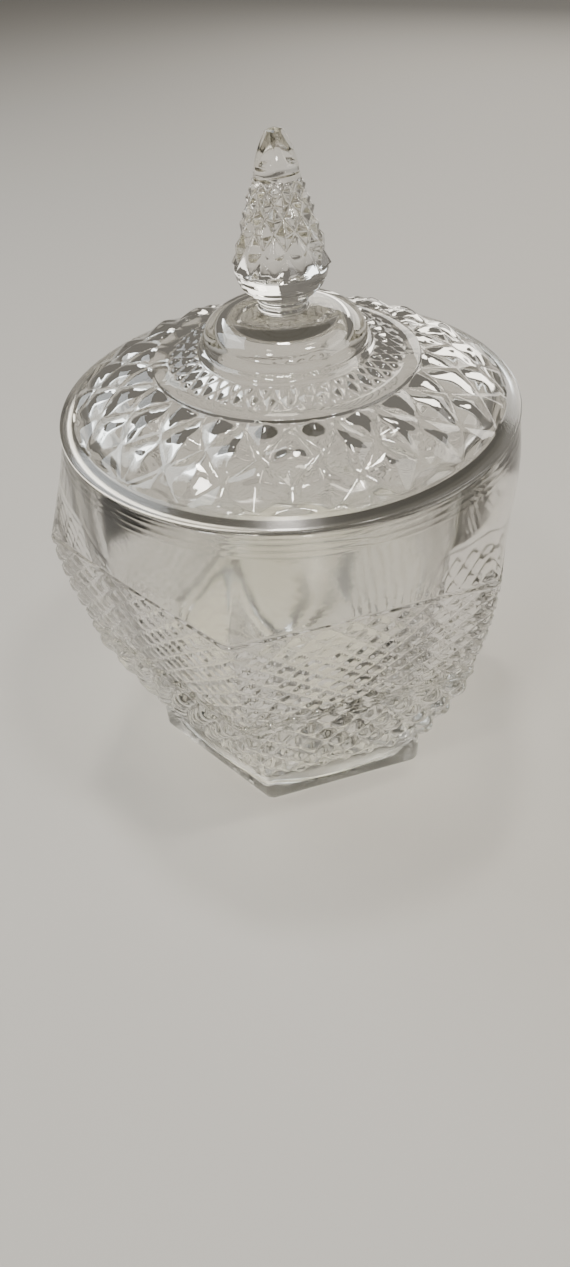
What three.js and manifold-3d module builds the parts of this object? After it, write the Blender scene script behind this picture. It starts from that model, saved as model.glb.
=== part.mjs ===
// Candy dish of clear pressed glass: a six-sided footed bowl and a round drop-in lid with a pointed finial.
// Millimetres, +Z up. The origin is the centre of the foot's underside and one corner of the bowl faces -Y.
import * as THREE from 'three';
import { mergeVertices } from 'three/addons/utils/BufferGeometryUtils.js';
import Module from 'manifold-3d';

const wasm = await Module();
wasm.setup();

// The bowl, from the table up. Radii of its six-sided part are measured to the corners.
const sides = 6;
const footRadius = 72;
const footHeight = 18;
const footBevel = 1.5;
const hobnailRows = 3;
const hobnailRowHeight = 18;
const hobnailsPerSide = 7;
const hobnailRelief = 2.8;
const panelHeight = 54;
const bodyRadius = 102.5;
const shoulderHeight = 40.5;
const shoulderFade = 1.7;
const rimRadius = 88.5;
const rimWall = 5.5;
const rimBevel = 2;

// The hollow of the bowl is round, so the glass is thick in the corners.
const sideWall = 5;
const floorThickness = 10;
const floorCornerRadius = 12;

// The shallow dish pressed into the underside leaves a flat ring to stand on.
const restRingWidth = 8.5;
const undersideDepth = 1.5;

// The lid seats on the bowl's rim and its flange drops into the mouth.
const seatGap = 0.3;
const flangeClearance = 0.8;
const flangeDepth = 6;
const flangeWall = 4;
const lidOverhang = 0.8;
const lidEdgeHeight = 1.8;
const lidEdgeBevel = 1.2;
const lidBandWidth = 6;
const lidBandRise = 2;
const lidWall = 5.5;
const lidTurnDegrees = 5.3;

// Rings of the lid's top, from the rim band to the dome.
const starRadius = 51;
const starRise = 14.5;
const starRows = 3;
const starPoints = 20;
const starRelief = 2.2;
const stepWidth = 6.6;
const stepRise = 1;
const domeRadius = 33.6;
const domeFootRise = 3;
const domeRise = 15;
const domeWall = 5;

// The finial stands on the dome.
const finialDiamonds = 10;
const finialRelief = 0.8;
const neckRadius = 8.3;
const neckHeight = 5;
const neckEmbed = 3;
const bulbRadius = 16;
const bulbUndersideHeight = 9;
const finialRows = 8;
const finialRowHeight = 3.75;
const spireRadius = 7.2;
const spireHeight = 14;

// How finely the plain turned surfaces are divided.
const arcRings = 5;
const panelRings = 4;
const shoulderRings = 6;
const hollowRings = 6;
const bowlColumns = sides * hobnailsPerSide * 2;
const hollowColumns = 48;
const lidColumns = starPoints * 2;
const finialColumns = finialDiamonds * 2;

const bandHeight = footHeight + hobnailRows * hobnailRowHeight;
const panelTop = bandHeight + panelHeight;
const rimTop = panelTop + shoulderHeight;
const apothemShare = Math.cos(Math.PI / sides);
const mouthRadius = rimRadius - rimWall;

const ring = (radius, height, extra = {}) => Object.assign(new THREE.Vector2(radius, height), extra);

// A turned body. reach gives the radius of each ring at each column, which makes it six-sided or studded.
function turned(rings, columns, reach = (point) => point.x) {
  const geometry = new THREE.LatheGeometry(rings, columns);
  const place = geometry.attributes.position;
  for (let column = 0; column <= columns; column += 1) {
    const angle = ((column % columns) / columns) * 2 * Math.PI;
    rings.forEach((point, row) => {
      const radius = reach(point, angle, column);
      const vertex = column * rings.length + row;
      place.setXYZ(vertex, radius * Math.sin(angle), point.y, radius * Math.cos(angle));
    });
  }
  geometry.rotateX(Math.PI / 2);
  return geometry;
}

// Each four-cornered cell is two triangles. Where cells form diamonds, the fold follows the groove.
function foldAlongGrooves(geometry, rings, columns) {
  const index = geometry.index.array;
  for (let triangle = 0; triangle < index.length; triangle += 6) {
    const [lowNear, lowFar, highNear, highFar] = index.slice(triangle, triangle + 4);
    const column = Math.floor(lowNear / rings.length);
    const row = lowNear % rings.length;
    if (rings[row].course === undefined || rings[row + 1].course === undefined) continue;
    if ((column + rings[row].course) % 2 === 1) continue;
    index.set([lowNear, lowFar, highFar, lowNear, highFar, highNear], triangle);
  }
  return geometry;
}

// A stud stands at every second column of a course, and the courses are staggered.
function isStud(point, column) {
  return point.course > 0 && !point.lastCourse && (column + point.course) % 2 === 1;
}

// Radius of a regular polygon at an angle, as a share of its corner radius, with a corner at angle 0.
function polygonShare(angle) {
  const sector = (2 * Math.PI) / sides;
  return apothemShare / Math.cos((angle % sector) - sector / 2);
}

// The flank swells from the foot to the top of the panel like a quarter of a sine wave.
function flankRadius(height) {
  const share = THREE.MathUtils.clamp((height - footHeight) / (panelTop - footHeight), 0, 1);
  return footRadius + (bodyRadius - footRadius) * Math.sin((share * Math.PI) / 2);
}

const steps = (count) => Array.from({ length: count + 1 }, (_, step) => step / count);

function solid(geometry) {
  geometry.deleteAttribute('normal');
  geometry.deleteAttribute('uv');
  const merged = mergeVertices(geometry);
  const corners = [];
  for (let at = 0; at < merged.index.count; at += 3) {
    const [a, b, c] = merged.index.array.slice(at, at + 3);
    if (a !== b && b !== c && c !== a) corners.push(a, b, c);
  }
  return new wasm.Manifold(new wasm.Mesh({
    numProp: 3,
    vertProperties: merged.attributes.position.array,
    triVerts: new Uint32Array(corners),
  }));
}

function meshOf(body, name, finish) {
  const { vertProperties, triVerts } = body.getMesh();
  const geometry = new THREE.BufferGeometry();
  geometry.setAttribute('position', new THREE.BufferAttribute(vertProperties, 3));
  geometry.setIndex(new THREE.BufferAttribute(triVerts, 1));
  geometry.computeVertexNormals();
  const mesh = new THREE.Mesh(geometry, finish);
  mesh.name = name;
  return mesh;
}

function bowlOutside() {
  const courses = hobnailRows * 2;
  const hobnails = steps(courses).map((share, course) => {
    const height = footHeight + share * (bandHeight - footHeight);
    return ring(flankRadius(height), height, { course, lastCourse: course === courses });
  });
  const panel = steps(panelRings).slice(1).map((share) => {
    const height = bandHeight + share * panelHeight;
    return ring(flankRadius(height), height);
  });
  const shoulder = steps(shoulderRings).slice(1).map((share) => {
    const radius = THREE.MathUtils.lerp(bodyRadius, rimRadius, share);
    const height = panelTop + share * (shoulderHeight - rimBevel);
    return ring(radius, height, { cornering: (1 - share) ** shoulderFade });
  });
  const rings = [
    ring(0, 0),
    ring(footRadius - footBevel, 0),
    ring(footRadius, footBevel),
    ...hobnails,
    ...panel,
    ...shoulder,
    ring(rimRadius - rimBevel, rimTop, { cornering: 0 }),
    ring(0, rimTop),
  ];
  const geometry = turned(rings, bowlColumns, (point, angle, column) => {
    const cornering = point.cornering ?? 1;
    const share = 1 + cornering * (polygonShare(angle) - 1);
    return point.x * share + (isStud(point, column) ? hobnailRelief : 0);
  });
  return solid(foldAlongGrooves(geometry, rings, bowlColumns));
}

function bowlHollow() {
  const floorTop = floorThickness + floorCornerRadius;
  const inside = (height) => Math.min(mouthRadius, flankRadius(height) * apothemShare - sideWall);
  const above = rimTop + flangeDepth;
  const floorCorner = steps(arcRings).map((share) => {
    const turn = (share * Math.PI) / 2;
    const radius = inside(floorTop) - floorCornerRadius * (1 - Math.sin(turn));
    return ring(radius, floorTop - floorCornerRadius * Math.cos(turn));
  });
  const wall = steps(hollowRings).slice(1).map((share) => {
    const height = THREE.MathUtils.lerp(floorTop, panelTop, share);
    return ring(inside(height), height);
  });
  return solid(turned([ring(0, floorThickness), ...floorCorner, ...wall, ring(mouthRadius, rimTop),
    ring(mouthRadius, above), ring(0, above)], hollowColumns));
}

function bowlUnderside() {
  const restRingInner = footRadius * apothemShare - restRingWidth;
  const dish = [
    ring(0, -undersideDepth),
    ring(restRingInner + undersideDepth, -undersideDepth),
    ring(restRingInner - undersideDepth, undersideDepth),
    ring(0, undersideDepth),
  ];
  return solid(turned(dish, hollowColumns));
}

function lidPlate() {
  const seat = rimTop + seatGap;
  const lidRadius = rimRadius + lidOverhang;
  const flangeRadius = mouthRadius - flangeClearance;
  const flangeInner = flangeRadius - flangeWall;
  const edgeTop = seat + lidEdgeHeight;
  const bandInner = lidRadius - lidBandWidth;
  const starFoot = edgeTop + lidBandRise;
  const starTop = starFoot + starRise;
  const stepTop = starTop + stepRise;
  const starHeight = (radius) => starFoot + starRise * ((bandInner - radius) / (bandInner - starRadius));
  const domeFoot = stepTop + domeFootRise;
  const hollowRadius = domeRadius - domeWall;
  const hollowFoot = domeFoot - lidWall;
  const hollowRise = domeRise - domeWall + lidWall;
  const quarter = steps(arcRings);
  const hollow = quarter.map((share) => {
    const turn = (share * Math.PI) / 2;
    return ring(hollowRadius * Math.sin(turn), hollowFoot + hollowRise * Math.cos(turn));
  });
  const star = steps(starRows).map((share, course) => {
    const radius = THREE.MathUtils.lerp(bandInner, starRadius, share);
    return ring(radius, starHeight(radius), { course, lastCourse: course === starRows });
  });
  const dome = quarter.map((share) => {
    const turn = (share * Math.PI) / 2;
    return ring(domeRadius * Math.cos(turn), domeFoot + domeRise * Math.sin(turn));
  });
  const rings = [
    ...hollow,
    ring(starRadius, starTop - lidWall),
    ring(flangeInner, starHeight(flangeInner) - lidWall),
    ring(flangeInner, seat - flangeDepth),
    ring(flangeRadius, seat - flangeDepth),
    ring(flangeRadius, seat),
    ring(lidRadius, seat),
    ring(lidRadius, edgeTop - lidEdgeBevel),
    ring(lidRadius - lidEdgeBevel, edgeTop),
    ...star,
    ring(starRadius - stepWidth, stepTop),
    ...dome,
  ];
  const geometry = foldAlongGrooves(turned(rings, lidColumns), rings, lidColumns);
  raiseStuds(geometry, rings);
  return { plate: solid(geometry), top: domeFoot + domeRise };
}

// The lid's studs rise straight up, because its top is nearly level.
function raiseStuds(geometry, rings) {
  const place = geometry.attributes.position;
  for (let vertex = 0; vertex < place.count; vertex += 1) {
    const point = rings[vertex % rings.length];
    const column = Math.floor(vertex / rings.length) % lidColumns;
    if (isStud(point, column)) place.setZ(vertex, place.getZ(vertex) + starRelief);
  }
}

function finial(foot) {
  const neckTop = foot + neckHeight;
  const bulbFoot = neckTop + bulbUndersideHeight;
  const spireFoot = bulbFoot + finialRows * finialRowHeight;
  const underside = steps(arcRings).slice(1, -1).map((share) => {
    const turn = (share * Math.PI) / 2;
    return ring(THREE.MathUtils.lerp(neckRadius, bulbRadius, Math.sin(turn)),
      bulbFoot - bulbUndersideHeight * Math.cos(turn));
  });
  const courses = steps(finialRows).map((share, course) => ring(
    THREE.MathUtils.lerp(bulbRadius, spireRadius, share),
    THREE.MathUtils.lerp(bulbFoot, spireFoot, share),
    { course, lastCourse: course === finialRows },
  ));
  const rings = [
    ring(0, foot - neckEmbed),
    ring(neckRadius, foot - neckEmbed),
    ring(neckRadius, neckTop),
    ...underside,
    ...courses,
    ring(0, spireFoot + spireHeight),
  ];
  const geometry = turned(rings, finialColumns,
    (point, angle, column) => point.x + (isStud(point, column) ? finialRelief : 0));
  return solid(foldAlongGrooves(geometry, rings, finialColumns));
}

const glass = () => new THREE.MeshStandardMaterial({
  color: 0xdfe6df,
  roughness: 0.04,
  metalness: 0,
  transparent: true,
  opacity: 0.4,
});

function makeBowl() {
  return meshOf(bowlOutside().subtract(bowlHollow()).subtract(bowlUnderside()), 'bowl', glass());
}

// The lid can sit at any angle on the round rim. Here one of its star points stands just past the corner.
function makeLid() {
  const { plate, top } = lidPlate();
  const lid = meshOf(plate.add(finial(top)), 'lid', glass());
  lid.rotation.z = THREE.MathUtils.degToRad(lidTurnDegrees);
  return lid;
}

const candyDish = new THREE.Group();
candyDish.name = 'candy_dish';
candyDish.add(makeBowl(), makeLid());

export default candyDish;
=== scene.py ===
# %% [markdown]
# A lidded candy dish of clear pressed glass. It is only two pieces of glass, so everything that the eye
# reads as detail is the shape of their surfaces: rows of pressed diamonds that bend the light. The lesson
# therefore models the relief as real geometry and keeps the material close to plain glass. The packed
# model gives the frame: where each piece stands, how wide it is and which body it rides on.

# %% Load the frame
import math

import bmesh
import bpy
from mathutils import Matrix, Vector


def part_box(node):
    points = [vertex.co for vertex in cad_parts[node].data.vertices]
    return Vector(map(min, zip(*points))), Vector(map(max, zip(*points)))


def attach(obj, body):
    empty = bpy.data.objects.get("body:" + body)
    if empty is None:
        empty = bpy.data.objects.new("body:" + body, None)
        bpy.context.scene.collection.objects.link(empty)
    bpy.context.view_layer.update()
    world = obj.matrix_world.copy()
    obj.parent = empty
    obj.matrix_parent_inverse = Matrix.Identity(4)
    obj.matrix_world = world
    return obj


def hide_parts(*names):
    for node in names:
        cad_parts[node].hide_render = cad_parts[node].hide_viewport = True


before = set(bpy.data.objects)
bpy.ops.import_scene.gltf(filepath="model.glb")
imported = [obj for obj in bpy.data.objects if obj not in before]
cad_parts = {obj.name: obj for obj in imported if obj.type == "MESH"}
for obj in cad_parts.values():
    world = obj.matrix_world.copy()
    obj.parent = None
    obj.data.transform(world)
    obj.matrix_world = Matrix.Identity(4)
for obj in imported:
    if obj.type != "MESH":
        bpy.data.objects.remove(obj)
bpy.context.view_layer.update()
bowl_low, bowl_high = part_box("bowl")
lid_low, lid_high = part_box("lid")

# %% [markdown]
# The sizes below are in metres. The overall ones come from the frame, so the visible glass stands exactly
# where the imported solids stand. The rest are the walls and the heights of the pattern bands.

# %% Sizes of the bowl
MM = 0.001
SIDES = 6
SECTOR = math.tau / SIDES
APOTHEM = math.cos(SECTOR / 2)
RIM_TOP = bowl_high[2]
BODY_RADIUS = bowl_high[1]
FOOT_RADIUS = 72 * MM
FOOT_HEIGHT = 18 * MM
HOBNAIL_ROWS = 3
HOBNAIL_HEIGHT = 18 * MM
HOBNAILS_PER_SIDE = 7
BAND_HEIGHT = FOOT_HEIGHT + HOBNAIL_ROWS * HOBNAIL_HEIGHT
PANEL_HEIGHT = 54 * MM
PANEL_TOP = BAND_HEIGHT + PANEL_HEIGHT
RIM_RADIUS = 88.5 * MM
MOUTH_RADIUS = 83 * MM
SIDE_WALL = 5 * MM
FLOOR_TOP = 10 * MM
CORNER_ROUNDING = 5 * MM
print("bowl: %.0f mm across corners, %.0f mm to the rim" % (BODY_RADIUS * 2000, RIM_TOP * 1000))


# %% [markdown]
# Pressed glass comes out of a mould, and its sides are easiest to think of as a turned shape that was
# pushed in flat six times. So each wall starts as an outline that is spun round the axis, and then every
# point is moved to its place on the real piece. The spin makes one sector and copies it round, which is
# many times quicker than one long spin.

# %% Turning
WELD_DISTANCE = 0.001 * MM


def lerp(start, end, share):
    return start + (end - start) * share


def clamp(value, low=0.0, high=1.0):
    return max(low, min(high, value))


def smooth(value):
    value = clamp(value)
    return value * value * (3 - 2 * value)


def steps(count):
    return [step / count for step in range(count + 1)]


def arc(count, start=0.0, end=90.0):
    """The sine and cosine at even steps from start to end, in degrees."""
    angles = [math.radians(lerp(start, end, share)) for share in steps(count)]
    return [(math.sin(angle), math.cos(angle)) for angle in angles]


def turned(mesh, outline, columns, sectors, place):
    """Spins outline, a list of (radius, height), and moves each point to place(turn, radius, height)."""
    old = set(mesh.verts)
    start = [mesh.verts.new((0, -radius, height)) for radius, height in outline]
    chain = [mesh.edges.new(pair) for pair in zip(start, start[1:])]
    around = {"cent": (0, 0, 0), "axis": (0, 0, 1), "dvec": (0, 0, 0), "use_merge": False}
    sector = math.tau / sectors
    bmesh.ops.spin(mesh, geom=start + chain, angle=sector, steps=columns // sectors,
                   use_duplicate=False, **around)
    verts = [vert for vert in mesh.verts if vert not in old]
    edges = {edge for vert in verts for edge in vert.link_edges}
    faces = {face for vert in verts for face in vert.link_faces}
    bmesh.ops.spin(mesh, geom=verts + list(edges) + list(faces), angle=sector * (sectors - 1),
                   steps=sectors - 1, use_duplicate=True, **around)
    made = [vert for vert in mesh.verts if vert not in old]
    bmesh.ops.remove_doubles(mesh, verts=made, dist=WELD_DISTANCE)
    made = [vert for vert in mesh.verts if vert not in old]
    for vert in made:
        radius = math.hypot(vert.co.x, vert.co.y)
        column = round(math.atan2(vert.co.x, -vert.co.y) / math.tau * columns) % columns
        angle, radius, height = place(column / columns * math.tau, radius, vert.co.z)
        vert.co = Vector((radius * math.sin(angle), -radius * math.cos(angle), height))
    return made


print("one sector of a six-sided wall is %.0f degrees" % math.degrees(SECTOR))


# %% [markdown]
# The columns are spread evenly along each flat side, because the diamonds of the real mould are all equally
# wide. The corners of the real dish are a little round, which is a small circle fitted into each corner.

# %% Squaring off
def spread_along_side(turn):
    """The angle of the point that is as far along its flat side as turn is along its sector."""
    side, share = divmod(turn / SECTOR, 1.0)
    return (side + 0.5) * SECTOR + math.atan((share * 2 - 1) * math.tan(SECTOR / 2))


def hexagon_radius(angle, corner, rounding):
    """Radius of a hexagon with rounded corners. A corner lies at angle 0 and reaches exactly to corner."""
    away = abs((angle + SECTOR / 2) % SECTOR - SECTOR / 2)
    flat = (corner + rounding * (1 / APOTHEM - 1)) * APOTHEM
    centre = (flat - rounding) / APOTHEM
    tangent = math.atan2(rounding * math.sin(SECTOR / 2), centre + rounding * math.cos(SECTOR / 2))
    if away < tangent:
        return centre * math.cos(away) + math.sqrt(rounding**2 - (centre * math.sin(away)) ** 2)
    return flat / math.cos(SECTOR / 2 - away)


flat = hexagon_radius(SECTOR / 2, BODY_RADIUS, CORNER_ROUNDING)
print("a flat side of the body is %.0f mm from the axis" % (flat * 1000))


# %% [markdown]
# The flank swells from the foot to the top of the panel like a quarter of a sine wave. Three courses of
# hobnails and a panel of fine diamonds are pressed into it. Both patterns are the same idea at two sizes:
# two families of slanting grooves cross, and what stands between them is a stud. A hobnail is round like a
# cushion. A small diamond is a low pyramid with its top cut off, so the grooves read as a light net.

# %% Outline and relief of the flank
def flank_radius(height):
    share = clamp((height - FOOT_HEIGHT) / (PANEL_TOP - FOOT_HEIGHT))
    return lerp(FOOT_RADIUS, BODY_RADIUS, math.sin(share * math.pi / 2))


def groove_shares(across, up):
    """How far a point lies from the nearest groove of each family, from 0 in it to 1 midway between two."""
    rising = 1 - abs(2 * ((across + up) % 1.0) - 1)
    falling = 1 - abs(2 * ((across - up) % 1.0) - 1)
    return rising, falling


def hobnail(across, up):
    rising, falling = groove_shares(across, up)
    return (math.sin(rising * math.pi / 2) * math.sin(falling * math.pi / 2)) ** 0.75


def pyramid(across, up, bluntness):
    """A sharp pyramid where bluntness is 1, and one with a rounder top where it is more."""
    return 1 - (1 - min(groove_shares(across, up))) ** bluntness


def cut_pyramid(across, up, cut):
    """A pyramid whose sides rise over the share cut of the way to its middle, and whose top is flat."""
    return clamp(min(groove_shares(across, up)) / cut)


print("flank corner radii, mm:", [round(flank_radius(h * MM) * 1000, 1) for h in (18, 36, 54, 72, 100, 126)])

# %% [markdown]
# The bowl is made in three walls. The lowest has the foot, with its shallow pressed underside and its round
# edge, and the hobnails above it. There are 12 columns for each hobnail, so that the corners of the mesh
# fall into the grooves and onto the tops.

# %% The foot and the hobnails
HOBNAIL_COLUMNS = 12
HOBNAIL_RELIEF = 3.1 * MM
UNDERSIDE_DEPTH = 1.5 * MM
REST_RING_INNER = FOOT_RADIUS * APOTHEM - 8.5 * MM
FOOT_EDGE = 2.2 * MM


def foot_outline():
    inner = REST_RING_INNER
    underside = [(0, UNDERSIDE_DEPTH), (inner / 2, UNDERSIDE_DEPTH), (inner - 3 * MM, UNDERSIDE_DEPTH)]
    underside += [(inner - 1 * MM, UNDERSIDE_DEPTH / 2), (inner, 0), (inner + 3 * MM, 0)]
    edge = [(FOOT_RADIUS - FOOT_EDGE * (1 - sine), FOOT_EDGE * (1 - cosine)) for sine, cosine in arc(6)]
    wall = [(FOOT_RADIUS, lerp(FOOT_EDGE, FOOT_HEIGHT, share)) for share in steps(8)[1:-1]]
    rows = [lerp(FOOT_HEIGHT, BAND_HEIGHT, share) for share in steps(HOBNAIL_ROWS * HOBNAIL_COLUMNS)]
    return underside + edge + wall + [(flank_radius(height), height) for height in rows]


def place_foot(turn, radius, height):
    if radius < REST_RING_INNER + 1 * MM:
        return turn, radius, height
    angle = spread_along_side(turn)
    radius = hexagon_radius(angle, radius, CORNER_ROUNDING)
    if height >= FOOT_HEIGHT:
        across = turn / SECTOR * HOBNAILS_PER_SIDE
        up = (height - FOOT_HEIGHT) / HOBNAIL_HEIGHT
        fade = smooth((height - FOOT_HEIGHT) / (2 * MM)) * smooth((BAND_HEIGHT - height) / (1.5 * MM))
        radius += HOBNAIL_RELIEF * hobnail(across, up) * fade
    return angle, radius, height


hobnails_in_a_row = SIDES * HOBNAILS_PER_SIDE
print("hobnails: %d rows of %d, relief %.1f mm" % (HOBNAIL_ROWS, hobnails_in_a_row, HOBNAIL_RELIEF * 1000))

# %% [markdown]
# Two fine beads run round the dish between the hobnails and the panel. Above them the panel is five and a
# half courses of small diamonds, and it ends at a crisp straight edge.

# %% The fine panel
DIAMONDS_PER_SIDE = 10
DIAMOND_COLUMNS = 10
DIAMOND_COURSES = 5.5
DIAMOND_RELIEF = 1.3 * MM
DIAMOND_CUT = 0.42
BEAD_RELIEF = 1.2 * MM
BEAD_SPACING = 2.6 * MM
PANEL_FOOT = BAND_HEIGHT + 2 * BEAD_SPACING


def panel_outline():
    beads = [(BAND_HEIGHT + share * 2 * BEAD_SPACING, math.sin(share * math.tau) ** 2) for share in steps(8)]
    rows = [lerp(PANEL_FOOT, PANEL_TOP, share) for share in steps(int(DIAMOND_COURSES * DIAMOND_COLUMNS))]
    outline = [(flank_radius(height) + BEAD_RELIEF * rise, height) for height, rise in beads[1:-1]]
    return outline + [(flank_radius(height), height) for height in rows]


def place_panel(turn, radius, height):
    angle = spread_along_side(turn)
    radius = hexagon_radius(angle, radius, CORNER_ROUNDING)
    up = (height - PANEL_FOOT) / (PANEL_TOP - PANEL_FOOT) * DIAMOND_COURSES
    if up > -1e-6:
        across = turn / SECTOR * DIAMONDS_PER_SIDE
        fade = smooth((PANEL_TOP - height) / (0.8 * MM))
        radius -= DIAMOND_RELIEF * (1 - cut_pyramid(across, up, DIAMOND_CUT)) * fade
    return angle, radius, height


print("panel diamonds: %.1f mm tall" % ((PANEL_TOP - PANEL_FOOT) / DIAMOND_COURSES * 1000))

# %% [markdown]
# The third wall starts with a fine groove, which closes off the panel as a straight line. It runs over the
# shoulder, where the hexagon fades into a circle, round the rim and down the inside. Three hair-thin rings
# just under the rim are the joints of the mould's top ring. The inside is plain and round, as the plunger
# left it, so the glass is thick in the corners and shows the light there in long streaks.

# %% Shoulder, rim and inside
SHOULDER_START = PANEL_TOP + 0.6 * MM
SHOULDER_FADE = 1.57
SHOULDER_COLUMNS = 40 * SIDES
CLOSING_GROOVE_HEIGHT = 2.4 * MM
CLOSING_GROOVE_DEPTH = 0.9 * MM
RIM_ROUNDING = 2 * MM
LIP_ROUNDING = 1 * MM
FLOOR_ROUNDING = 12 * MM
MOULD_RINGS = [RIM_TOP - below * MM for below in (2.9, 5.2, 7.5)]
MOULD_RING_WIDTH = 0.7 * MM
MOULD_RING_RELIEF = 0.12 * MM


def cornering(height):
    """1 where the bowl is six-sided and 0 where it is round."""
    share = clamp((height - PANEL_TOP) / (RIM_TOP - RIM_ROUNDING - PANEL_TOP))
    return (1 - share) ** SHOULDER_FADE


def inside_radius(height):
    return min(MOUTH_RADIUS, flank_radius(height) * APOTHEM - SIDE_WALL)


def shoulder_outline():
    low, high = SHOULDER_START, RIM_TOP - RIM_ROUNDING
    rows = [lerp(low, high, share) for share in steps(36)]
    rows += [low + CLOSING_GROOVE_HEIGHT * share for share in steps(8)[1:]]
    rows += [ring + offset for ring in MOULD_RINGS for offset in (-MOULD_RING_WIDTH, 0, MOULD_RING_WIDTH)]
    flank = [(lerp(BODY_RADIUS, RIM_RADIUS, (height - low) / (high - low)), height)
             for height in sorted(rows)]
    rim = [(RIM_RADIUS - RIM_ROUNDING * (1 - cosine), high + RIM_ROUNDING * sine)
           for sine, cosine in arc(5)[1:]]
    rim += [(MOUTH_RADIUS + LIP_ROUNDING * (1 - sine), RIM_TOP - LIP_ROUNDING * (1 - cosine))
            for sine, cosine in arc(3)]
    floor_arc = FLOOR_TOP + FLOOR_ROUNDING
    inside = [(inside_radius(height), height)
              for height in (lerp(RIM_TOP - 3 * MM, floor_arc, share) for share in steps(36))]
    floor = [(inside_radius(floor_arc) - FLOOR_ROUNDING * (1 - cosine), floor_arc - FLOOR_ROUNDING * sine)
             for sine, cosine in arc(8)[1:]]
    return flank + rim + inside + floor + [(20 * MM, FLOOR_TOP), (0, FLOOR_TOP)]


def place_shoulder(turn, radius, height):
    angle = spread_along_side(turn)
    if height > PANEL_TOP and radius > MOUTH_RADIUS + 1.5 * MM:
        squareness = hexagon_radius(angle, radius, CORNER_ROUNDING) / radius
        radius *= lerp(1.0, squareness, cornering(height))
        nearest = min(abs(height - ring) for ring in MOULD_RINGS)
        radius += MOULD_RING_RELIEF * clamp(1 - nearest / MOULD_RING_WIDTH)
        groove = clamp((height - SHOULDER_START) / CLOSING_GROOVE_HEIGHT)
        radius -= CLOSING_GROOVE_DEPTH * math.sin(groove * math.pi) ** 2
    return angle, radius, height


print("mould rings at", [round(ring * 1000, 1) for ring in MOULD_RINGS], "mm")


# %% [markdown]
# The three walls meet at open loops. Bridge Edge Loops sews two loops together even when they have
# different numbers of points, which is what lets each wall have the columns its own pattern needs.

# %% Sewing the bowl
def open_ring(made, height):
    """The edges of the open loop that lies at this height."""
    edges = {edge for vert in made for edge in vert.link_edges if edge.is_boundary}
    return [edge for edge in edges if all(abs(vert.co.z - height) < 0.2 * MM for vert in edge.verts)]


def finished(mesh, name):
    """Turns the faces outwards, shades them smoothly and makes the object."""
    bmesh.ops.recalc_face_normals(mesh, faces=mesh.faces)
    for face in mesh.faces:
        face.smooth = True
    open_edges = sum(1 for edge in mesh.edges if not edge.is_manifold)
    triangles = sum(len(face.verts) - 2 for face in mesh.faces)
    data = bpy.data.meshes.new(name)
    mesh.to_mesh(data)
    mesh.free()
    piece = bpy.data.objects.new(name, data)
    bpy.context.scene.collection.objects.link(piece)
    print(f"{name}: {triangles} triangles, {open_edges} open edges")
    return piece


def make_bowl():
    mesh = bmesh.new()
    foot = turned(mesh, foot_outline(), SIDES * HOBNAILS_PER_SIDE * HOBNAIL_COLUMNS, SIDES, place_foot)
    panel = turned(mesh, panel_outline(), SIDES * DIAMONDS_PER_SIDE * DIAMOND_COLUMNS, SIDES, place_panel)
    shoulder = turned(mesh, shoulder_outline(), SHOULDER_COLUMNS, SIDES, place_shoulder)
    panel_start = min(vert.co.z for vert in panel)
    bmesh.ops.bridge_loops(mesh, edges=open_ring(foot, BAND_HEIGHT) + open_ring(panel, panel_start))
    bmesh.ops.bridge_loops(mesh, edges=open_ring(panel, PANEL_TOP) + open_ring(shoulder, SHOULDER_START))
    return finished(mesh, "bowl_glass")


bowl = make_bowl()

# %% [markdown]
# The lid and its finial are one pressing too. From the rim inwards its top has a plain band, a broad ring of
# large diamonds whose grooves sweep round like a star, a plain step, a ring of small pyramids and a smooth
# bell. The bell is hollow, and so is the whole underside, with a flange that drops into the bowl's mouth.

# %% Sizes of the lid
FLANGE_DEPTH = 6 * MM
LID_SEAT = lid_low[2] + FLANGE_DEPTH
LID_RADIUS = 89.3 * MM
LID_EDGE_HEIGHT = 1.8 * MM
LID_TURN = math.radians(5.3)
LID_WALL = 5.5 * MM
FLANGE_OUTER = 82.2 * MM
FLANGE_INNER = 78.2 * MM
FLANGE_ROUNDING = 0.8 * MM
BAND_INNER = 83.3 * MM
STAR_FOOT = LID_SEAT + LID_EDGE_HEIGHT + 2 * MM
STAR_RISE = 14.5 * MM
STAR_INNER = 51 * MM
STEP_INNER = 44.4 * MM
STEP_TOP = STAR_FOOT + STAR_RISE + 1 * MM
DOME_RADIUS = 33.6 * MM
DOME_FOOT = STEP_TOP + 3 * MM
NECK_FOOT = 203.6 * MM
print("lid seat at %.1f mm, top at %.1f mm" % (LID_SEAT * 1000, lid_high[2] * 1000))

# %% [markdown]
# The star ring has 20 points. Its courses get closer together towards the middle, as they would if equal
# diamonds were drawn on a cone, so the node circles are named one by one. The surface between them is
# slightly domed. Grooves are cut a little below it and the diamonds stand a little above it.

# %% The star ring
STAR_POINTS = 20
STAR_NODES = [83.6 * MM, 73.4 * MM, 63.7 * MM, STAR_INNER]
STAR_RELIEF = 2.5 * MM
STAR_GROOVE = 0.9 * MM
STAR_DOMING = 0.9 * math.pi / 2


def star_course(radius):
    """Counts the courses of the star ring, 0 at its outer tips and 3 at the step."""
    for course, (outer, inner) in enumerate(zip(STAR_NODES, STAR_NODES[1:])):
        if radius >= inner:
            return course + clamp((outer - radius) / (outer - inner))
    return 3.0


def star_radius(course):
    index = min(int(course), 2)
    return lerp(STAR_NODES[index], STAR_NODES[index + 1], course - index)


def star_height(radius):
    share = clamp((BAND_INNER - radius) / (BAND_INNER - STAR_INNER))
    return STAR_FOOT + STAR_RISE * math.sin(share * STAR_DOMING) / math.sin(STAR_DOMING)


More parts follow.
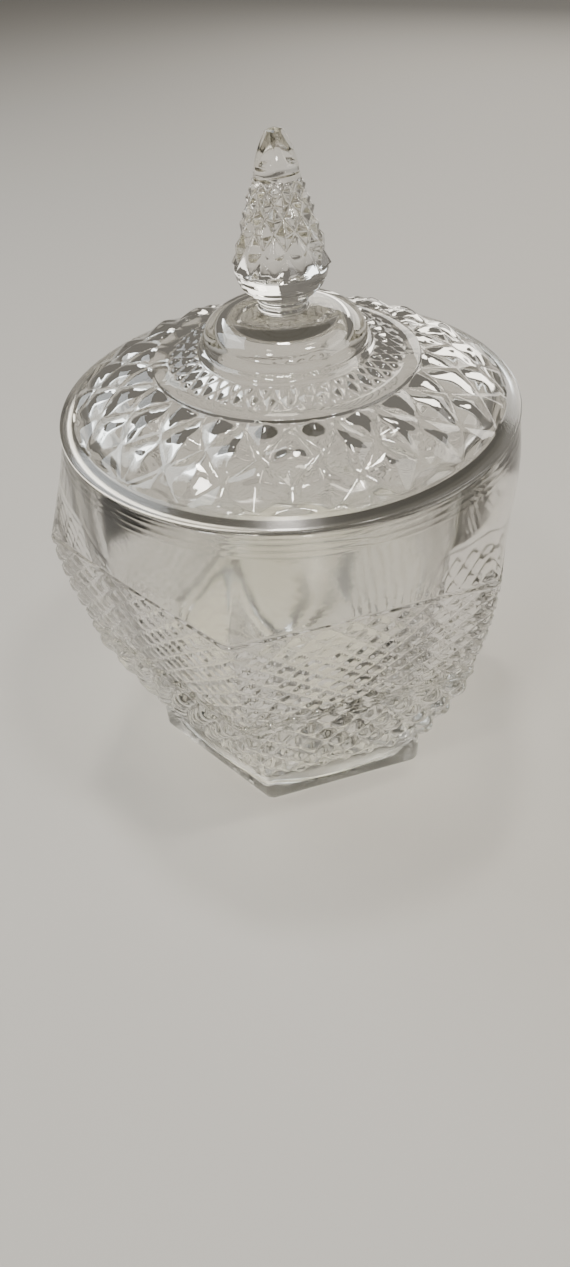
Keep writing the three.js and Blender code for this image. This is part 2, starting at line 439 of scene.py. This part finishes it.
def star_relief(turn, radius):
    fade = smooth((BAND_INNER - radius) / (0.7 * MM)) * smooth((radius - STAR_INNER) / (0.5 * MM))
    studs = pyramid(turn / math.tau * STAR_POINTS, star_course(radius) / 2, 1.25)
    return (STAR_RELIEF * studs - STAR_GROOVE) * fade


print("star ring rises from %.1f to %.1f mm" % (STAR_FOOT * 1000, (STAR_FOOT + STAR_RISE) * 1000))

# %% [markdown]
# Inside the star the lid steps up to a narrow plain ring, and 40 small pyramids fill the slope between it
# and the bell. The bell stands on a rounded plinth.

# %% Step, pyramids and bell
PYRAMIDS = 40
PYRAMID_RELIEF = 1.9 * MM
PLINTH_RISE = 3.2 * MM
BELL_RADIUS = 31.0 * MM
BELL_SQUARENESS = 0.78
NECK_RADIUS = 9.4 * MM


def step_outline():
    wall = [(STAR_INNER - 0.2 * MM, star_height(STAR_INNER)), (STAR_INNER - 0.4 * MM, STEP_TOP - 0.3 * MM),
            (STAR_INNER - 0.8 * MM, STEP_TOP)]
    return wall + [(STEP_INNER + 0.6 * MM, STEP_TOP + 0.2 * MM), (STEP_INNER, STEP_TOP)]


def pyramid_outline():
    shares = steps(12)[1:]
    return [(lerp(STEP_INNER, DOME_RADIUS, share), lerp(STEP_TOP, DOME_FOOT, share)) for share in shares]


def pyramid_relief(turn, radius):
    share = (STEP_INNER - radius) / (STEP_INNER - DOME_RADIUS)
    fade = smooth(share * 6) * smooth((1 - share) * 8)
    return (PYRAMID_RELIEF * pyramid(turn / math.tau * PYRAMIDS, share, 1.1) - 0.5 * MM) * fade


def bell_outline():
    plinth = [(lerp(BELL_RADIUS, DOME_RADIUS - 0.3 * MM, cosine), DOME_FOOT + PLINTH_RISE * sine)
              for sine, cosine in arc(6)]
    rise = NECK_FOOT - DOME_FOOT - PLINTH_RISE
    bell = [(lerp(NECK_RADIUS, BELL_RADIUS - 0.4 * MM, cosine**BELL_SQUARENESS),
             DOME_FOOT + PLINTH_RISE + rise * sine**BELL_SQUARENESS) for sine, cosine in arc(18, 1, 90)]
    return plinth + bell


print("pyramid ring from %.1f to %.1f mm" % (STEP_TOP * 1000, DOME_FOOT * 1000))

# %% [markdown]
# The underside can't be seen without lifting the lid, but it shows through the glass. The hollow of the bell
# has steep sides and a flat ceiling, and outside it the underside follows the top at an even wall.

# %% The underside and the edge
LID_COLUMNS = 400
LID_SECTORS = 5
HOLLOW_RADIUS = 27 * MM
HOLLOW_TOP = DOME_FOOT + 8.5 * MM
HOLLOW_ROUNDING = 5 * MM
EDGE_ROUNDING = 0.9 * MM


def underside_outline():
    ceiling = [(0, HOLLOW_TOP), (10 * MM, HOLLOW_TOP)]
    corner_radius = HOLLOW_RADIUS - 3 * MM
    corner = [(corner_radius - HOLLOW_ROUNDING * (1 - sine), HOLLOW_TOP - HOLLOW_ROUNDING * (1 - cosine))
              for sine, cosine in arc(8)]
    under_dome = DOME_FOOT - LID_WALL
    foot = [(HOLLOW_RADIUS - 1 * MM, under_dome + 3 * MM), (HOLLOW_RADIUS, under_dome + 1 * MM),
            (HOLLOW_RADIUS + 2 * MM, under_dome)]
    under_ring = [(STEP_INNER, STEP_TOP - LID_WALL)]
    radii = [lerp(STAR_INNER, FLANGE_INNER, share) for share in steps(10)]
    under_star = [(radius, star_height(radius) - LID_WALL) for radius in radii]
    return ceiling + corner + foot + under_ring + under_star


def edge_outline():
    bottom = LID_SEAT - FLANGE_DEPTH
    round_off = FLANGE_ROUNDING
    flange = [(FLANGE_INNER, bottom + round_off), (FLANGE_INNER + round_off, bottom),
              (FLANGE_OUTER - round_off, bottom), (FLANGE_OUTER, bottom + round_off),
              (FLANGE_OUTER, LID_SEAT)]
    middle = LID_SEAT + LID_EDGE_HEIGHT / 2
    edge = [(LID_RADIUS - EDGE_ROUNDING * (1 - sine), middle - EDGE_ROUNDING * cosine)
            for sine, cosine in arc(8, 0, 180)]
    band_outer, band_low = LID_RADIUS - EDGE_ROUNDING, middle + EDGE_ROUNDING
    band = [(lerp(band_outer, BAND_INNER, share), lerp(band_low, STAR_FOOT, share))
            for share in (0.1, 0.5, 0.93)]
    return flange + edge + band


def star_outline():
    rows = [lerp(0.08, 3.0, share) for share in steps(34)]
    return [(BAND_INNER, STAR_FOOT)] + [(star_radius(row), star_height(star_radius(row))) for row in rows]


def place_lid(turn, radius, height):
    if height >= STAR_FOOT and radius >= STAR_INNER:
        height += star_relief(turn, radius)
    elif height > STEP_TOP - 0.1 * MM and DOME_RADIUS < radius < STEP_INNER:
        height += pyramid_relief(turn, radius)
    return turn + LID_TURN, radius, height


def lid_outline():
    top = star_outline() + step_outline() + pyramid_outline() + bell_outline()
    return underside_outline() + edge_outline() + top


print("lid outline has", len(lid_outline()), "points")

# %% [markdown]
# The finial is a bulb that narrows to a spire. Its diamonds start large on the bulb and get smaller course
# by course, because the same ten columns have to fit round a thinner stem. Two beads ring its neck.

# %% The finial
FINIAL_DIAMONDS = 10
FINIAL_COLUMNS = 160
FINIAL_SECTORS = 4
FINIAL_RELIEF = 3.0 * MM
FINIAL_GROOVE = 1.6 * MM
COURSE_HEIGHTS = [height * MM for height in (219.0, 227.2, 233.0, 237.5, 241.4, 244.8, 247.6)]
STEM_OUTLINE = [(radius * MM, height * MM) for radius, height in (
    (9.6, 208.6), (12.6, 210.2), (15.0, 212.8), (16.4, 215.6), (16.9, 218.2), (16.5, 220.2), (15.7, 223.5),
    (14.3, 227.6), (12.6, 233.0), (11.4, 237.5), (10.0, 241.4), (8.7, 244.8), (8.0, 247.6), (7.6, 249.4))]


def stem_radius(height):
    for (radius, low), (wider, high) in zip(STEM_OUTLINE, STEM_OUTLINE[1:]):
        if height <= high:
            return lerp(radius, wider, clamp((height - low) / (high - low)))
    return STEM_OUTLINE[-1][0]


def finial_course(height):
    for course, (low, high) in enumerate(zip(COURSE_HEIGHTS, COURSE_HEIGHTS[1:])):
        if height <= high:
            return course + clamp((height - low) / (high - low))
    return len(COURSE_HEIGHTS) - 1.0


def stem_relief(turn, radius, height):
    low, high = COURSE_HEIGHTS[0], COURSE_HEIGHTS[-1]
    fade = smooth((height - low) / (0.6 * MM)) * smooth((high - height) / (1.2 * MM))
    studs = pyramid(turn / math.tau * FINIAL_DIAMONDS, finial_course(height) / 2, 1.1)
    return (FINIAL_RELIEF * studs - FINIAL_GROOVE) * fade * lerp(0.5, 1.0, radius / (16 * MM))


print("finial courses at", [round(height * 1000, 1) for height in COURSE_HEIGHTS], "mm")

# %% [markdown]
# Above the diamonds the spire is smooth and closes like a bullet. Four flat facets are cut across it, so
# each facet's lower border is a curve that hangs lowest in its middle. That is simply the smaller of two
# radii: the spire's and the facet's.

# %% The spire and its cut tip
FACETS = 4
FACET_FOOT = 252.5 * MM
FACET_TURN = math.radians(17.7)
FACET_DEPTHS = (6.8 * MM, 2.7 * MM)
SPIRE_FOOT = 249.4 * MM
SPIRE_RADIUS = 7.6 * MM
CROWN_RADIUS = 3.6 * MM
CROWN_HEIGHT = 1.5 * MM
TIP_TOP = lid_high[2]
CROWN_FOOT = TIP_TOP - CROWN_HEIGHT
NECK_RING = 0.9 * MM
NECK_RING_HEIGHTS = (NECK_FOOT + NECK_RING, NECK_FOOT + 3.3 * MM)


def spire_radius(height):
    share = clamp((height - SPIRE_FOOT) / (CROWN_FOOT - SPIRE_FOOT))
    return lerp(SPIRE_RADIUS, CROWN_RADIUS, share**1.6)


def facet_radius(turn, height):
    """How far out the nearest facet lies at this turn. It draws in over the crown as the spire does."""
    facet = math.tau / FACETS
    away = (turn - FACET_TURN) % facet - facet / 2
    depth = lerp(*FACET_DEPTHS, clamp((height - FACET_FOOT) / (CROWN_FOOT - FACET_FOOT)))
    over_crown = clamp((height - CROWN_FOOT) / CROWN_HEIGHT)
    return depth / math.cos(away) * math.sqrt(1 - over_crown**2)


def finial_outline():
    neck = []
    for middle in NECK_RING_HEIGHTS:
        neck += [(NECK_RADIUS - NECK_RING + NECK_RING * sine, middle - NECK_RING * cosine)
                 for sine, cosine in arc(6, 10, 170)]
    stem_foot, stem_top = STEM_OUTLINE[0][1], STEM_OUTLINE[-1][1]
    stem_rows = [lerp(stem_foot, stem_top, share) for share in steps(100)]
    stem = [(stem_radius(height), height) for height in stem_rows]
    spire_rows = [lerp(SPIRE_FOOT, CROWN_FOOT, share) for share in steps(30)[1:]]
    spire = [(spire_radius(height), height) for height in spire_rows]
    crown = [(CROWN_RADIUS * cosine, CROWN_FOOT + CROWN_HEIGHT * sine) for sine, cosine in arc(6)[1:]]
    return neck + stem + spire + crown


def place_finial(turn, radius, height):
    if COURSE_HEIGHTS[0] <= height <= COURSE_HEIGHTS[-1]:
        radius += stem_relief(turn, radius, height)
    elif height >= FACET_FOOT:
        radius = min(radius, facet_radius(turn, height))
    return turn + LID_TURN, radius, height


print("facets from %.1f mm to the tip at %.1f mm" % (FACET_FOOT * 1000, TIP_TOP * 1000))


# %% [markdown]
# The plate and the finial have different numbers of columns, so they are sewn at the neck as the walls of
# the bowl were. The two become one closed piece, as the real lid is one pressing.

# %% The whole lid
def make_lid():
    mesh = bmesh.new()
    plate = turned(mesh, lid_outline(), LID_COLUMNS, LID_SECTORS, place_lid)
    finial = turned(mesh, finial_outline(), FINIAL_COLUMNS, FINIAL_SECTORS, place_finial)
    plate_end = max(vert.co.z for vert in plate)
    finial_start = min(vert.co.z for vert in finial)
    bmesh.ops.bridge_loops(mesh, edges=open_ring(plate, plate_end) + open_ring(finial, finial_start))
    return finished(mesh, "lid_glass")


lid = make_lid()

# %% [markdown]
# Clear glass has almost no look of its own. Its colour is what it does to the light that crosses it, a faint
# grey-green where it is thick. Everything else is the shader's index of refraction. To wire its small
# variations as sums, one class wraps a socket and adds a Math node for each operator.

# %% Node helper
class Wire:
    """A socket that can be used in sums: each operator adds the Math node that it stands for."""

    def __init__(self, tree, socket):
        self.tree = tree
        self.socket = socket

    def node(self, kind, settings, inputs, output=0):
        """Adds a node, with its settings first and then the value or the wire of each named socket."""
        made = self.tree.nodes.new(kind)
        for name, value in settings.items():
            setattr(made, name, value)
        for name, value in inputs.items():
            if isinstance(value, Wire):
                self.tree.links.new(value.socket, made.inputs[name])
            else:
                made.inputs[name].default_value = value
        return Wire(self.tree, made.outputs[output])

    def maths(self, operation, first, second):
        return self.node("ShaderNodeMath", {"operation": operation}, {0: first, 1: second})

    def __add__(self, other):
        return self.maths("ADD", self, other)

    __radd__ = __add__

    def __mul__(self, other):
        return self.maths("MULTIPLY", self, other)

    __rmul__ = __mul__

    def __sub__(self, other):
        return self.maths("SUBTRACT", self, other)

    def __rsub__(self, other):
        return self.maths("SUBTRACT", other, self)


print("a Wire is ready for sums")

# %% [markdown]
# Pressed glass is never optically flat. The mould leaves a slow ripple and fire polishing leaves a fine
# orange-peel. Years of use leave a haze on the plain shoulder that hands hold and on the lid's edge, and
# the ring that the dish rests on is ground. Noise moves the normal, and the height decides how green and
# how rough the glass is.

# %% The glass
GREEN_TOP = 110 * MM
GLASS_INDEX = 1.52
PEEL_FINENESS = 9
PEEL_SHARE = 0.08
SMEAR_FINENESS = 3
SMEAR_ROUGHNESS = 0.01


def glass(name, thin, thick, ripple_scale, ripple_depth, worn):
    """Glass that turns from thick, its colour at the foot, to thin, its colour from GREEN_TOP upwards.

    Each zone in worn is (clear, hazy, roughness): the height where the haze starts, the height where it
    is full, and how rough it is there.
    """
    material = bpy.data.materials.new(name)
    material.use_nodes = True
    tree = material.node_tree
    shader = tree.nodes["Principled BSDF"]
    shader.inputs["Transmission Weight"].default_value = 1.0
    shader.inputs["IOR"].default_value = GLASS_INDEX
    place = Wire(tree, tree.nodes.new("ShaderNodeTexCoord").outputs["Object"])
    height = place.node("ShaderNodeSeparateXYZ", {}, {"Vector": place}, output=2)
    rise = height.node("ShaderNodeMapRange", {}, {"Value": height, "From Min": 0.0, "From Max": GREEN_TOP})
    colour = rise.node("ShaderNodeMix", {"data_type": "RGBA"},
                       {0: rise, 6: (*thick, 1), 7: (*thin, 1)}, output=2)
    tree.links.new(colour.socket, shader.inputs["Base Color"])
    ripple = place.node("ShaderNodeTexNoise", {}, {"Vector": place, "Scale": ripple_scale, "Detail": 1.0})
    peel = place.node("ShaderNodeTexNoise", {},
                      {"Vector": place, "Scale": ripple_scale * PEEL_FINENESS, "Detail": 2.0})
    bump = place.node("ShaderNodeBump", {},
                      {"Strength": ripple_depth, "Distance": 1 * MM, "Height": ripple + peel * PEEL_SHARE})
    tree.links.new(bump.socket, shader.inputs["Normal"])
    smear = place.node("ShaderNodeTexNoise", {}, {"Vector": place, "Scale": ripple_scale * SMEAR_FINENESS})
    rough = smear * SMEAR_ROUGHNESS
    for clear, hazy, roughness in worn:
        zone = height.node("ShaderNodeMapRange", {}, {"Value": height, "From Min": clear, "From Max": hazy})
        rough = rough + zone * roughness
    tree.links.new(rough.socket, shader.inputs["Roughness"])
    return material


bowl.data.materials.append(glass("bowl_glass", (0.93, 0.915, 0.885), (0.93, 0.94, 0.905), 45, 0.3,
                                 [(PANEL_TOP, PANEL_TOP + 12 * MM, 0.09), (3.2 * MM, 2.2 * MM, 0.2)]))
lid.data.materials.append(glass("lid_glass", (0.94, 0.93, 0.905), (0.94, 0.93, 0.905), 60, 0.12,
                                [(STAR_FOOT + 0.6 * MM, STAR_FOOT - 0.4 * MM, 0.15)]))
print("materials:", [piece.data.materials[0].name for piece in (bowl, lid)])


# %% [markdown]
# Two shortcuts here are not how real glass works. A path tracer can't send a lamp's light through a
# refracting surface without much noise, so rays that go to a lamp meet a clear pane in place of the glass,
# and its colour sets how dark the shadow is. On the lid, so do rays that have been mirrored inside it,
# because its star would trap them until they came out black.

# %% Clear panes for some rays
def let_through(material, rays, pane):
    """Puts a clear pane in place of the material's surface for the rays of one Light Path output."""
    tree = material.node_tree
    target = tree.nodes["Material Output"].inputs["Surface"]
    surface = Wire(tree, target.links[0].from_socket)
    share = Wire(tree, tree.nodes.new("ShaderNodeLightPath").outputs[rays])
    clear = share.node("ShaderNodeBsdfTransparent", {}, {"Color": (*pane, 1)})
    mixed = share.node("ShaderNodeMixShader", {}, {0: share, 1: surface, 2: clear})
    tree.links.new(mixed.socket, target)


BOWL_PANE = (0.58, 0.57, 0.54)
LID_PANE = (0.84, 0.835, 0.81)
let_through(bowl.data.materials[0], "Is Shadow Ray", BOWL_PANE)
let_through(lid.data.materials[0], "Is Shadow Ray", LID_PANE)
let_through(lid.data.materials[0], "Is Reflection Ray", LID_PANE)
print("lamps shine through both pieces")

# %% [markdown]
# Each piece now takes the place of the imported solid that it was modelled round, and moves with its body.

# %% Each piece rides on its body
for piece, node, slot in ((bowl, "bowl", "bowl_glass"), (lid, "lid", "lid_glass")):
    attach(piece, node)
    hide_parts(node)
print("the lid rides on its own body, so it lifts off the bowl")


# %% [markdown]
# The dish stands on a plain pale floor, a hair above it, so that glass and floor don't share a surface.
# Glass shows the lights as bright windows and the dark between them as its own outline, so the soft boxes
# hang in a room that isn't itself bright. The small ones make the sparkle and the large ones the sheen.

# %% Floor and lights
FLOOR_SIZE = 4.0
FLOOR_GAP = 0.3 * MM
FLOOR_COLOUR = (0.42, 0.405, 0.38, 1)
ROOM_COLOUR = (0.88, 0.83, 0.75, 1)
ROOM_STRENGTH = 0.24
WARM = (1.0, 0.95, 0.87)


def make_floor():
    mesh = bmesh.new()
    bmesh.ops.create_grid(mesh, x_segments=1, y_segments=1, size=FLOOR_SIZE)
    bmesh.ops.translate(mesh, verts=mesh.verts, vec=(0, 0, -FLOOR_GAP))
    data = bpy.data.meshes.new("floor")
    mesh.to_mesh(data)
    mesh.free()
    floor = bpy.data.objects.new("floor", data)
    bpy.context.scene.collection.objects.link(floor)
    material = bpy.data.materials.new("floor_paint")
    material.use_nodes = True
    shader = material.node_tree.nodes["Principled BSDF"]
    shader.inputs["Base Color"].default_value = FLOOR_COLOUR
    shader.inputs["Roughness"].default_value = 0.7
    data.materials.append(material)


def soft_box(name, place, aim, size, power, colour):
    data = bpy.data.lights.new(name, "AREA")
    data.shape = "RECTANGLE"
    data.size, data.size_y = size
    data.energy = power
    data.color = colour
    lamp = bpy.data.objects.new(name, data)
    lamp.location = place
    lamp.rotation_euler = (Vector(aim) - Vector(place)).to_track_quat("-Z", "Y").to_euler()
    bpy.context.scene.collection.objects.link(lamp)


def make_room():
    world = bpy.data.worlds.new("room")
    bpy.context.scene.world = world
    world.use_nodes = True
    background = world.node_tree.nodes["Background"]
    background.inputs["Color"].default_value = ROOM_COLOUR
    background.inputs["Strength"].default_value = ROOM_STRENGTH


make_floor()
make_room()
soft_box("window", (-1.1, 0.25, 1.25), (0, 0, 0.15), (1.0, 0.8), 14, (0.90, 0.96, 1.0))
soft_box("ceiling_1", (-0.12, 0.30, 1.6), (0, 0, 0.1), (0.16, 0.16), 10, WARM)
soft_box("ceiling_2", (0.55, -0.10, 1.5), (0, 0, 0.1), (0.16, 0.16), 8, WARM)
soft_box("ceiling_3", (-0.25, -0.75, 1.4), (0, 0, 0.1), (0.16, 0.16), 6, WARM)
soft_box("front_1", (0.45, -1.2, 0.85), (0, 0, 0.08), (0.12, 0.12), 5, (1.0, 0.97, 0.93))
soft_box("front_2", (-0.55, -1.1, 0.65), (0, 0, 0.08), (0.12, 0.12), 4, (0.94, 0.97, 1.0))
soft_box("wall", (0.4, 1.6, 0.7), (0, 0, 0.15), (1.6, 0.5), 11, WARM)
soft_box("fill", (1.2, 0.1, 0.8), (0, 0, 0.1), (0.9, 0.9), 7, (1.0, 0.96, 0.90))
print("eight soft boxes in a dim room")


# %% [markdown]
# The camera looks down on the dish from in front, close enough for the lid to look larger than the foot. Its
# axes are built from yaw, pitch and roll, because it leans a little to one side.

# %% Camera
CAMERA_PLACE = (0.0794, -0.3063, 0.3388)
CAMERA_TURNS = (-15.98, 43.37, 4.09)
SENSOR_WIDTH = 36
FOCAL_LENGTH = 25.15


def make_camera():
    yaw, pitch, roll = (math.radians(degrees) for degrees in CAMERA_TURNS)
    forward = Vector((math.sin(yaw) * math.cos(pitch), math.cos(yaw) * math.cos(pitch), -math.sin(pitch)))
    level = Vector((math.cos(yaw), -math.sin(yaw), 0))
    down = forward.cross(level)
    right = math.cos(roll) * level + math.sin(roll) * down
    down = math.cos(roll) * down - math.sin(roll) * level
    data = bpy.data.cameras.new("camera")
    data.sensor_width = SENSOR_WIDTH
    data.lens = FOCAL_LENGTH
    data.clip_start = 0.01
    camera = bpy.data.objects.new("camera", data)
    axes = Matrix((right, -down, -forward)).transposed().to_4x4()
    camera.matrix_world = Matrix.Translation(CAMERA_PLACE) @ axes
    bpy.context.scene.collection.objects.link(camera)
    bpy.context.scene.camera = camera


make_camera()
print("camera at", [round(value, 3) for value in bpy.context.scene.camera.location])
